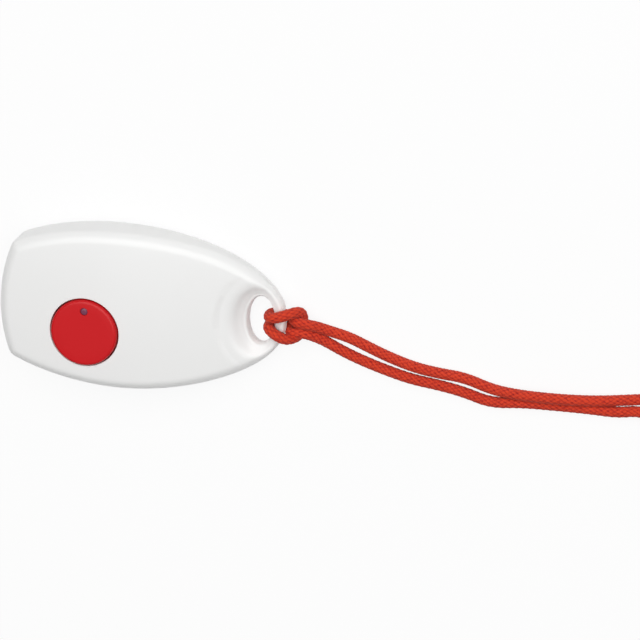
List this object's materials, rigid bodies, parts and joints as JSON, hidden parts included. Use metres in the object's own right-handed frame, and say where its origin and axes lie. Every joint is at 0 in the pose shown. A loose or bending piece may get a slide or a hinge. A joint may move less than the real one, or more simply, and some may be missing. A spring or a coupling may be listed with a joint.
{
  "type": "wireless call button",
  "caption": "Small white call transmitter with a round red push button, a scooped eyelet at its pointed end and a braided neck cord hitched through it.",
  "frame": {"origin": "on the flat back, under the middle of the moulding", "axes": "+X along the moulding toward its pointed end with the eyelet, +Z out of the face with the button, +Y toward the long side that is further from the button"},
  "size_m": [0.2426, 0.0671, 0.0158],
  "materials": {
    "casing": "satin gloss",
    "door": "satin gloss",
    "cell": "bright rolled",
    "button_red": "satin",
    "pipe_clear": "frosted clear",
    "switch_black": "matt",
    "switch_steel": "bright",
    "pins_tin": "tinned",
    "board_green": "lacquered",
    "lamp_red": "clear tinted",
    "chip_black": "matt",
    "can_steel": "plated",
    "antenna_brass": "drawn wire",
    "chip_ceramic": "fired ceramic",
    "contact_brass": "sprung strip",
    "cord_braid": "fine braid",
    "tie_white": "woven tape",
    "screw_steel": "plated"
  },
  "bodies": {
    "housing": {"front_shell": "casing", "back_shell": "casing", "coin_cell": "cell", "switch_body": "switch_black", "switch_cover": "switch_steel", "switch_pins": "pins_tin", "circuit_board": "board_green", "status_lamp": "lamp_red", "encoder_chip": "chip_black", "resonator_can": "can_steel", "antenna_wire": "antenna_brass", "chip_parts": "chip_ceramic", "contact_centre": "contact_brass", "contact_side": "contact_brass", "cord_long": "cord_braid", "cord_short": "cord_braid", "cord_return": "cord_braid", "cord_coil": "cord_braid", "cord_tie": "tie_white", "cord_knot": "cord_braid", "case_screw_1": "screw_steel", "case_screw_2": "screw_steel", "case_screw_3": "screw_steel"},
    "button": {"button_cap": "button_red", "light_pipe": "pipe_clear", "switch_plunger": "switch_black"},
    "door": {"battery_door": "door"}
  },
  "joints": [
    {"name": "button_press", "type": "slide", "parent": "housing", "child": "button", "axis": [0, 0, -1], "range_m": [0, 0.0005], "stiffness_N_per_m": 1500, "springref_m": -0.0003},
    {"name": "door_turn", "type": "hinge", "parent": "housing", "child": "door", "pos_m": [-0.012, 0, 0], "axis": [0, 0, 1], "range_deg": [0, 45]}
  ]
}
